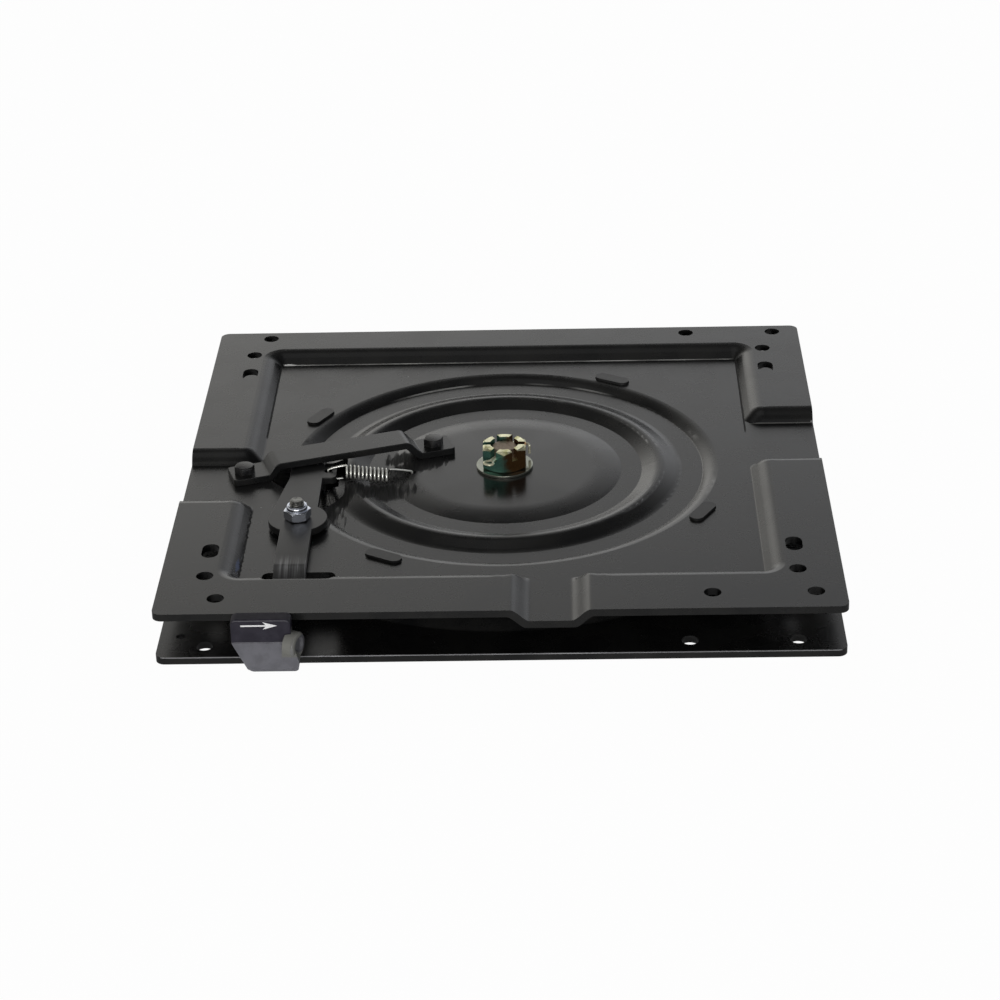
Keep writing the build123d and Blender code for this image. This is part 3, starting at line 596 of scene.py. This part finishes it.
# the boss: where it is, and its colour from the dish out to the rim
def gripBoss(place):
    look = gripLook
    sideways = along(place, "X") / mm
    proud = 1.0 - (along(place, "Y") / mm).ramp(*look["bossFront"])
    beside = sideways.ramp(*look["bossSide"]).largest(proud * sideways.ramp(*look["bossRoot"]))
    half = (look["bossLength"], look["dishRadius"], look["dishRadius"])
    fromAxis = patch(place, look["bossAxis"], half)
    beside = beside * (1.0 - fromAxis.ramp(1.7, 2.0))
    return beside, fromAxis.ramp(0.9, 1.15).mixColour(look["bossDish"], look["bossRim"])


def gripPlastic():
    look = gripLook
    material, start, place = newFinish("gripPlastic")
    cloud = noise(place, 170.0, 4.0, 0.6)
    fine = noise(place, 2400.0)
    height = along(place, "Z") + (cloud - 0.5) * (1.2 * mm)
    upper = height.ramp(look["step"][0] * mm, look["step"][1] * mm)
    onTop = facingUp(start).ramp(0.4, 0.8)
    face = cloud.ramp(0.35, 0.7).mixColour(look["face"], look["faceCloud"])
    lip = cloud.ramp(0.35, 0.7).mixColour(look["lip"], look["lipCloud"])
    beside, boss = gripBoss(place)
    colour = beside.mixColour(upper.mixColour(lip, face), boss)
    rough = look["lipRoughness"] + upper * (look["faceRoughness"] - look["lipRoughness"])
    rough = rough + onTop * (look["topRoughness"] - rough) + (fine - 0.5) * 0.12
    sockets = {"Base Color": colour, "Roughness": rough, "Specular IOR Level": 0.4}
    closeFinish(start, {**sockets, "Normal": bump(fine, look["grain"])})
    return material


def arrowPrint():
    material, start, place = newFinish("arrowPrint")
    worn = noise(place, 1500.0, 3.0).ramp(0.25, 0.45)
    colour = worn.mixColour(rgb(0.70, 0.69, 0.72), rgb(0.94, 0.94, 0.95))
    closeFinish(start, {"Base Color": colour, "Roughness": 0.55 - worn * 0.1})
    return material


finishes = {
    "black_paint": platePaint(),
    "lever_paint": leverPaint(),
    "black_bolt": boltBlacking(),
    "yellow_zinc": yellowZinc(),
    "bright_zinc": metalFinish("brightZinc"),
    "spring_wire": springWire(),
    "bronze": metalFinish("bushBronze"),
    "slide_plastic": plasticFinish("slidePlastic"),
    "pad_plastic": plasticFinish("padPlastic"),
    "grip_plastic": gripPlastic(),
}
# single pieces whose finish differs from the rest of their slot
ownFinishes = {
    "keeper_strap": strapPaint(),
    "pivot_washer": metalFinish("washerZinc"),
    "split_pin": metalFinish("pinZinc"),
    "pivot_bolt": metalFinish("boltEndZinc"),
    "lever_bolt": metalFinish("darkZinc"),
}


def finishOf(node):
    return ownFinishes.get(node) or finishes[slotOf[node]]


for name, node in nodes.items():
    node.data.materials.clear()
    node.data.materials.append(finishOf(name))
print("finishes: %d made" % (len(finishes) + len(ownFinishes)))

weldGap = 0.002 * mm   # corners closer than this are one


def addPiece(name, mesh, material):
    piece = bpy.data.objects.new(name, mesh)
    bpy.context.scene.collection.objects.link(piece)
    mesh.materials.clear()
    mesh.materials.append(material)
    return piece


# a piece takes a node's place and body
def standFor(piece, node):
    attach(piece, bodyOf[node])
    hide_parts(node)


# smooth shading, broken at edges that turn by more than the given degrees
def shadeSmooth(mesh, degrees):
    mesh.polygons.foreach_set("use_smooth", [True] * len(mesh.polygons))
    mesh.set_sharp_from_angle(angle=math.radians(degrees))


def closeShape(name, shape):
    bmesh.ops.recalc_face_normals(shape, faces=shape.faces)
    mesh = bpy.data.meshes.new(name)
    shape.to_mesh(mesh)
    shape.free()
    return mesh


# a closed skin over a row of rings with equal numbers of corners
def skinRings(shape, rings):
    count = len(rings[0])
    for low, high in zip(rings, rings[1:]):
        for side in range(count):
            beside = (side + 1) % count
            shape.faces.new((low[side], low[beside], high[beside], high[side]))
    shape.faces.new(reversed(rings[0]))
    shape.faces.new(rings[-1])


# pieces that stand in for a node, with the small rounding that its edges have, in mm
softEdges = {
    "keeper_strap": 0.5,
    "latch_lever": 0.5,
    "strap_bolt_1": 0.3,
    "strap_bolt_2": 0.3,
    "castle_nut": 0.3,
    "lever_nut": 0.25,
    "pivot_washer": 0.3,
}
flatAngle = 0.6    # degrees; faces that turn less are one
edgeAngle = 28     # degrees; edges that turn more are rounded


def softenNode(node, width):
    mesh = nodes[node].data.copy()
    shape = bmesh.new()
    shape.from_mesh(mesh)
    bmesh.ops.remove_doubles(shape, verts=shape.verts, dist=weldGap)
    flat = math.radians(flatAngle)
    bmesh.ops.dissolve_limit(shape, angle_limit=flat, verts=shape.verts, edges=shape.edges)
    shape.to_mesh(mesh)
    shape.free()
    piece = addPiece(node + "Soft", mesh, finishOf(node))
    bevel = piece.modifiers.new("edges", "BEVEL")
    bevel.width = width * mm
    bevel.segments = 2
    bevel.limit_method = "ANGLE"
    bevel.angle_limit = math.radians(edgeAngle)
    bevel.harden_normals = True
    shadeSmooth(mesh, 40)
    standFor(piece, node)


for node, width in softEdges.items():
    softenNode(node, width)
print("edges: %d pieces softened" % len(softEdges))


# turntable plate: the front outlet's flanks, drawn as one soft S from its floor to the rim, in mm
outletSizes = {
    "middle": 26.0,
    "floorHalf": 10.4,
    "rimHalf": 20.8,
    "underShift": 1.8,    # the underside's S starts this much further out
    "reach": 29.0,        # the redrawn stretch, to each side of the middle
    "behind": -124.0,     # and everything in front of this
    "rimStart": -139.5,
    "rimBend": 4.5,
    "floorTop": 23.1,
    "depth": 6.4,
    "sheet": 4.0,
    "firstCut": 8.0,
    "cutStep": 0.7,
    "leastRise": 0.02,
    "mostStretch": 3.0,
    "flatAngle": 0.2,
}


def outletReach(spot):
    return abs(spot.x / mm - outletSizes["middle"])


def inOutlet(spot):
    return spot.y < outletSizes["behind"] * mm and outletReach(spot) < outletSizes["reach"]


def outletFaces(shape):
    return [face for face in shape.faces if all(inOutlet(vert.co) for vert in face.verts)]


# the outlet's flat faces are joined, then cut into narrow strips along its run
def cutOutlet(shape):
    size = outletSizes
    joined = list({edge for face in outletFaces(shape) for edge in face.edges})
    flat = math.radians(size["flatAngle"])
    bmesh.ops.dissolve_limit(shape, angle_limit=flat, verts=[], edges=joined)
    cuts = round((size["reach"] - size["firstCut"]) / size["cutStep"])
    for side in (-1, 1):
        for step in range(cuts):
            cutX = size["middle"] + side * (size["firstCut"] + step * size["cutStep"])
            faces = outletFaces(shape)
            edges = {edge for face in faces for edge in face.edges}
            verts = {vert for face in faces for vert in face.verts}
            parts = faces + list(edges) + list(verts)
            spot = (cutX * mm, 0, 0)
            bmesh.ops.bisect_plane(shape, geom=parts, dist=1e-7, plane_co=spot, plane_no=(1, 0, 0))
    shape.normal_update()


def levelAt(line, reach):
    for (near, low), (far, high) in zip(line, line[1:]):
        if near <= reach <= far:
            return low + (high - low) * (reach - near) / max(far - near, 1e-9)
    return line[-1][1]


def clamped(value):
    return min(max(value, 0.0), 1.0)


# new heights of the outlet's upper or lower skin, from the section at its front edge
def outletLevels(shape, upper):
    size = outletSizes
    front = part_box("top_plate")[0].y + 0.05 * mm
    skin = [vert for vert in shape.verts if inOutlet(vert.co) and (vert.normal.z > 0) == upper]
    line = sorted((outletReach(vert.co), vert.co.z / mm) for vert in skin if vert.co.y < front)
    floor = size["floorTop"] - (0.0 if upper else size["sheet"])
    start = size["floorHalf"] + (0.0 if upper else size["underShift"])
    levels = []
    for vert in skin:
        reach = outletReach(vert.co)
        share = clamped((reach - start) / (size["rimHalf"] - size["floorHalf"]))
        wanted = share * share * (3.0 - 2.0 * share)
        present = max((levelAt(line, reach) - floor) / size["depth"], size["leastRise"])
        scaled = (vert.co.z / mm - floor) * min(wanted / present, size["mostStretch"])
        onRim = clamped((size["rimStart"] - vert.co.y / mm) / size["rimBend"])
        levels.append((vert, floor + scaled + onRim * (size["depth"] * wanted - scaled)))
    return levels


# the plate keeps its own normals; redrawn faces get new ones
def easeOutlet():
    mesh = nodes["top_plate"].data.copy()
    kept = mesh.attributes.new("keptNormal", "FLOAT_VECTOR", "CORNER")
    kept.data.foreach_set("vector", [value for normal in mesh.corner_normals for value in normal.vector])
    if "custom_normal" in mesh.attributes:
        mesh.attributes.remove(mesh.attributes["custom_normal"])
    shape = bmesh.new()
    shape.from_mesh(mesh)
    bmesh.ops.remove_doubles(shape, verts=shape.verts, dist=weldGap)
    cutOutlet(shape)
    for vert, level in outletLevels(shape, True) + outletLevels(shape, False):
        vert.co.z = level * mm
    shape.to_mesh(mesh)
    shape.free()
    shadeSmooth(mesh, 38)
    own = [normal.vector.copy() for normal in mesh.corner_normals]
    was = [item.vector.copy() for item in mesh.attributes["keptNormal"].data]
    normals = []
    for face in mesh.polygons:
        redrawn = all(inOutlet(mesh.vertices[index].co) for index in face.vertices)
        normals += [own[corner] if redrawn else was[corner] for corner in face.loop_indices]
    mesh.attributes.remove(mesh.attributes["keptNormal"])
    mesh.normals_split_custom_set(normals)
    plate = addPiece("topPlate", mesh, finishOf("top_plate"))
    standFor(plate, "top_plate")


easeOutlet()
print("turntable plate: front outlet eased")


# a round tube that follows a list of points
def tubeMesh(name, points, radius, sides):
    shape = bmesh.new()
    normal = (points[1] - points[0]).orthogonal().normalized()
    rings = []
    for index, point in enumerate(points):
        before = points[max(index - 1, 0)]
        after = points[min(index + 1, len(points) - 1)]
        way = (after - before).normalized()
        normal = (normal - way * normal.dot(way)).normalized()
        across = way.cross(normal)
        ring = []
        for side in range(sides):
            turn = 2 * math.pi * side / sides
            outward = normal * math.cos(turn) + across * math.sin(turn)
            ring.append(shape.verts.new(point + outward * radius))
        rings.append(ring)
    skinRings(shape, rings)
    mesh = closeShape(name, shape)
    shadeSmooth(mesh, 50)
    return mesh


def curveBetween(first, firstWay, second, secondWay, reach, count):
    return interpolate_bezier(first, first + firstWay * reach, second - secondWay * reach, second, count)


# return spring: hook in the lever's tab, close coils, leg in the turntable plate; in mm
springSizes = {
    "tabHole": Vector((-98.4, -17.2, 28.7)),
    "tabThickness": 4.0,
    "plateHole": Vector((-52.2, -5.8, 21.3)),
    "coilStart": Vector((-88.3, -17.6, 28.2)),
    "coilEnd": Vector((-64.3, -17.2, 25.0)),
    "coilRadius": 3.65,
    "wire": 1.1,
    "turns": 10.9,
    "stepsPerTurn": 36,
    "hookRise": 0.2,
    "hookDrop": 0.6,      # below the tab
    "hookBend": 1.3,
    "tail": Vector((7.9, 1.6, 0)),
    "tailDrop": 1.6,
    "tailLead": 0.13,     # share of the tail that its bend takes up
    "tailBend": 0.9,
    "legDepth": 5.4,
    "legBend": 0.8,
    "bendSteps": 24,
    "tailSteps": 8,
    "sides": 14,
}


# hook with its tail, coils and leg in one row of points
def springRoute():
    size = springSizes
    axis = size["coilEnd"] - size["coilStart"]
    way = axis.normalized()
    up = Vector((0, 0, 1))
    upward = (up - way * way.z).normalized()
    across = way.cross(upward)
    steps = round(size["turns"] * size["stepsPerTurn"])
    coil = []
    for step in range(steps + 1):
        turn = 2 * math.pi * step / size["stepsPerTurn"]
        around = upward * math.cos(turn) + across * math.sin(turn)
        coil.append(size["coilStart"] + axis * (step / steps) + around * size["coilRadius"])
    tabFoot = size["tabHole"] - up * size["tabThickness"]
    hookTop = size["tabHole"] + up * size["hookRise"]
    hookFoot = tabFoot - up * size["hookDrop"]
    tailStart = tabFoot - up * size["tailDrop"] + size["tail"] * size["tailLead"]
    tailEnd = tailStart + size["tail"] * (1.0 - size["tailLead"])
    tailWay = -size["tail"].normalized()
    legTop = size["plateHole"] + up * size["hookRise"]
    legFoot = size["plateHole"] - up * size["legDepth"]
    coilIn = (coil[1] - coil[0]).normalized()
    coilOut = (coil[-1] - coil[-2]).normalized()
    turnUp = curveBetween(tailStart, tailWay, hookFoot, up, size["tailBend"], size["tailSteps"])
    hook = curveBetween(hookTop, up, coil[0], coilIn, size["hookBend"], size["bendSteps"])
    leg = curveBetween(coil[-1], coilOut, legTop, -up, size["legBend"], size["bendSteps"])
    return [tailEnd] + turnUp + hook[:-1] + coil + leg[1:] + [legFoot]


# a value on each corner: 0 on the coil's outside, 1 on its inside; it places the wire's painted shade
def markInside(mesh):
    size = springSizes
    axis = size["coilEnd"] - size["coilStart"]
    way = axis.normalized()
    inside = []
    for vert in mesh.vertices:
        offset = vert.co / mm - size["coilStart"]
        depth = size["coilRadius"] + size["wire"] / 2 - offset.cross(way).length
        inCoil = 0.0 <= offset.dot(way) <= axis.length
        inside.append(depth / size["wire"] if inCoil else 0.0)
    mesh.attributes.new("insideCoil", "FLOAT", "POINT").data.foreach_set("value", inside)


def makeSpring():
    size = springSizes
    points = [point * mm for point in springRoute()]
    mesh = tubeMesh("returnSpring", points, size["wire"] * mm / 2, size["sides"])
    markInside(mesh)
    spring = addPiece("returnSpring", mesh, finishes["spring_wire"])
    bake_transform(spring)
    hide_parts("return_spring")


makeSpring()


# lever bolt: hexagon head below the plate, threaded end above the nut; in mm and degrees
leverBoltSizes = {
    "radius": 4.0,
    "pitch": 1.25,
    "threadDepth": 0.55,
    "threadSlope": 1.25,
    "threadSteps": 150,
    "chamfer": 0.9,
    "head": 5.3,
    "flats": 13.0,
    "headTurn": 42.0,
    "headBevel": 0.6,
    "bevelShare": 0.87,
    "sides": 48,
}


# a ring of corners round the bolt's axis, whose radius may change with the turn
def boltRing(shape, axis, level, count, radiusAt, firstTurn=0.0):
    ring = []
    for side in range(count):
        share = side / count
        angle = 2 * math.pi * share + math.radians(firstTurn)
        radius = radiusAt(share)
        spot = Vector((axis.x + radius * math.cos(angle), axis.y + radius * math.sin(angle), level))
        ring.append(shape.verts.new(spot * mm))
    return ring


def makeLeverBolt():
    size = leverBoltSizes
    low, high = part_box("lever_bolt")
    axis = (low + high) / 2 / mm
    foot = low.z / mm
    headTop = foot + size["head"]
    end = high.z / mm
    shape = bmesh.new()

    def threadRadius(level, share):
        wave = abs(((level - headTop) / size["pitch"] - share) % 1.0 * 2 - 1)
        radius = size["radius"] - size["threadDepth"] * min(1.0, size["threadSlope"] * wave)
        return min(radius, size["radius"] - size["chamfer"] + (end - level))

    rings = []
    for step in range(size["threadSteps"] + 1):
        level = headTop + (end - headTop) * step / size["threadSteps"]
        rings.append(boltRing(shape, axis, level, size["sides"], lambda share: threadRadius(level, share)))
    skinRings(shape, rings)
    corner = size["flats"] / math.sqrt(3)
    outline = [(corner * size["bevelShare"], foot), (corner, foot + size["headBevel"]), (corner, headTop)]
    sections = []
    for reach, level in outline:
        sections.append(boltRing(shape, axis, level, 6, lambda share: reach, size["headTurn"]))
    skinRings(shape, sections)
    mesh = closeShape("leverBolt", shape)
    shadeSmooth(mesh, 35)
    bolt = addPiece("leverBolt", mesh, finishOf("lever_bolt"))
    standFor(bolt, "lever_bolt")


makeLeverBolt()


# white arrow printed on the grip's face, pointing the way it is pushed; in mm
arrowSizes = {
    "faceY": -189.5,
    "tail": -130.6,
    "tip": -112.0,
    "height": 28.6,
    "shaft": 0.85,
    "headLength": 7.4,
    "headWidth": 4.2,
    "notch": 1.6,
    "thickness": 0.12,
}


def makeArrow():
    size = arrowSizes
    barb = size["tip"] - size["headLength"]
    half = size["shaft"] / 2
    wide = size["headWidth"] / 2
    upper = [(size["tail"], half), (barb + size["notch"], half), (barb, wide), (size["tip"], 0)]
    lower = [(x, -z) for x, z in reversed(upper[:-1])]
    shape = bmesh.new()
    spots = [Vector((x, size["faceY"], size["height"] + z)) * mm for x, z in upper + lower]
    face = shape.faces.new([shape.verts.new(spot) for spot in spots])
    grown = bmesh.ops.extrude_face_region(shape, geom=[face])
    moved = [part for part in grown["geom"] if isinstance(part, bmesh.types.BMVert)]
    bmesh.ops.translate(shape, verts=moved, vec=Vector((0, -size["thickness"] * mm, 0)))
    arrow = addPiece("gripArrow", closeShape("gripArrow", shape), arrowPrint())
    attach(arrow, "lever")


makeArrow()
print("pieces: spring, lever bolt and arrow made")


# white floor, in metres; in the gloss of the part it shows as a grey one
floorLook = {
    "size": 8.0,
    "drop": 0.0003,
    "whiteShare": 0.978,
    "mirrored": 0.22,
    "matt": 0.85,
    "underMargin": 0.028,   # the floor further in than this under the part stays in its own shadow
}


def makeFloor():
    look = floorLook
    half = look["size"] / 2
    mesh = bpy.data.meshes.new("floor")
    corners = [(-half, -half, 0), (half, -half, 0), (half, half, 0), (-half, half, 0)]
    mesh.from_pydata(corners, [], [(0, 1, 2, 3)])
    material, start, place = newFinish("floorWhite")
    floor = addPiece("floor", mesh, material)
    floor.location.z = cadBox[0].z - look["drop"]
    camera = start.node("LightPath", out=0)
    glossy = start.node("LightPath", out=3)
    clear = start.node("LightPath", out=6)
    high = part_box("base_plate")[1]
    insideX = along(place, "X").distance(0.0) / (high.x - look["underMargin"])
    insideY = along(place, "Y").distance(0.0) / (high.y - look["underMargin"])
    openFloor = insideX.largest(insideY).ramp(0.97, 1.0)
    seen = camera.largest(glossy).largest(clear) * openFloor * look["whiteShare"]
    shade = glossy.mixColour(rgb(1, 1, 1), rgb(*[look["mirrored"]] * 3))
    matt = start.node("BsdfDiffuse", None, {"Color": rgb(*[look["matt"]] * 3)})
    white = start.node("Emission", None, {"Color": shade, "Strength": 1.0})
    both = start.node("MixShader", None, {0: seen, 1: matt, 2: white})
    start.node("OutputMaterial", None, {"Surface": both})


# the room: brightest near the horizon behind the part and towards the left, darker overhead
skyLook = {
    "horizon": 1.36,
    "overhead": 0.10,
    "fade": (0.30, 0.66),        # how high the horizon's glow reaches
    "low": 0.72,
    "lowFade": (0.05, 0.30),
    "left": 1.21,
    "right": 0.79,
    "leftToRight": (-0.35, 0.35),
    "sideLoss": 0.55,
    "sideFade": (0.22, 0.75),
    "warm": rgb(1.0, 0.985, 0.94),
    "cool": rgb(0.955, 0.97, 1.0),
    "tintFade": (-0.3, 0.3),
}


def makeWorld():
    look = skyLook
    world = bpy.data.worlds.new("studio")
    bpy.context.scene.world = world
    world.use_nodes = True
    world.node_tree.nodes.clear()
    start = Wire(world.node_tree)
    way = start.node("TexCoord", out=0)
    rise = along(way, "Z")
    aside = along(way, "X")
    level = look["horizon"] + rise.ramp(*look["fade"]) * (look["overhead"] - look["horizon"])
    level = level * (look["low"] + rise.ramp(*look["lowFade"]) * (1.0 - look["low"]))
    level = level * (look["left"] - aside.ramp(*look["leftToRight"]) * (look["left"] - look["right"]))
    level = level * (1.0 - aside.distance(0.0).ramp(*look["sideFade"]) * look["sideLoss"])
    tint = aside.ramp(*look["tintFade"]).mixColour(look["warm"], look["cool"])
    camera = start.node("LightPath", out=0)
    room = start.node("Background", None, {"Color": tint, "Strength": level})
    white = start.node("Background", None, {"Color": rgb(1, 1, 1), "Strength": 1.0})
    both = start.node("MixShader", None, {0: camera, 1: room, 2: white})
    start.node("OutputWorld", None, {"Surface": both})


# soft lamps: where each stands, its two sides and its power
lamps = {
    "ceiling": {"spot": (-0.5, -0.1, 2.4), "sides": (1.6, 1.6), "power": 2.0},
    "front": {"spot": (-0.2, -2.5, 0.28), "sides": (2.0, 0.4), "power": 22.0},
}


def makeLamps():
    for name, lamp in lamps.items():
        data = bpy.data.lights.new(name, "AREA")
        data.shape = "RECTANGLE"
        data.size, data.size_y = lamp["sides"]
        data.energy = lamp["power"]
        piece = bpy.data.objects.new(name, data)
        piece.location = lamp["spot"]
        piece.rotation_euler = (-Vector(lamp["spot"])).to_track_quat("-Z", "Y").to_euler()
        piece.visible_camera = False
        bpy.context.scene.collection.objects.link(piece)


# the photograph's view: which way it looks, how far it stands and how it is turned
viewPoint = {
    "azimuth": 1.651,
    "elevation": 27.472,
    "roll": -1.537,
    "target": Vector((-1.59, -57.07, 29.5)) * mm,
    "distance": 1520.9 * mm,
    "lens": 100.325,
    "nearest": 0.05,
    "farthest": 60.0,
}


def makeCamera():
    turn = math.radians(viewPoint["azimuth"])
    rise = math.radians(viewPoint["elevation"])
    roll = math.radians(viewPoint["roll"])
    back = Vector((math.sin(turn) * math.cos(rise), -math.cos(turn) * math.cos(rise), math.sin(rise)))
    level = Vector((math.cos(turn), math.sin(turn), 0))
    above = back.cross(level)
    right = level * math.cos(roll) + above * math.sin(roll)
    up = above * math.cos(roll) - level * math.sin(roll)
    data = bpy.data.cameras.new("camera")
    data.lens = viewPoint["lens"]
    data.clip_start = viewPoint["nearest"]
    data.clip_end = viewPoint["farthest"]
    camera = bpy.data.objects.new("camera", data)
    spot = viewPoint["target"] + back * viewPoint["distance"]
    camera.matrix_world = Matrix.Translation(spot) @ Matrix((right, up, back)).transposed().to_4x4()
    bpy.context.scene.collection.objects.link(camera)
    bpy.context.scene.camera = camera


makeFloor()
makeWorld()
makeLamps()
makeCamera()
bpy.context.scene.view_settings.view_transform = "Standard"
print("studio: floor, world, lamps and camera placed")
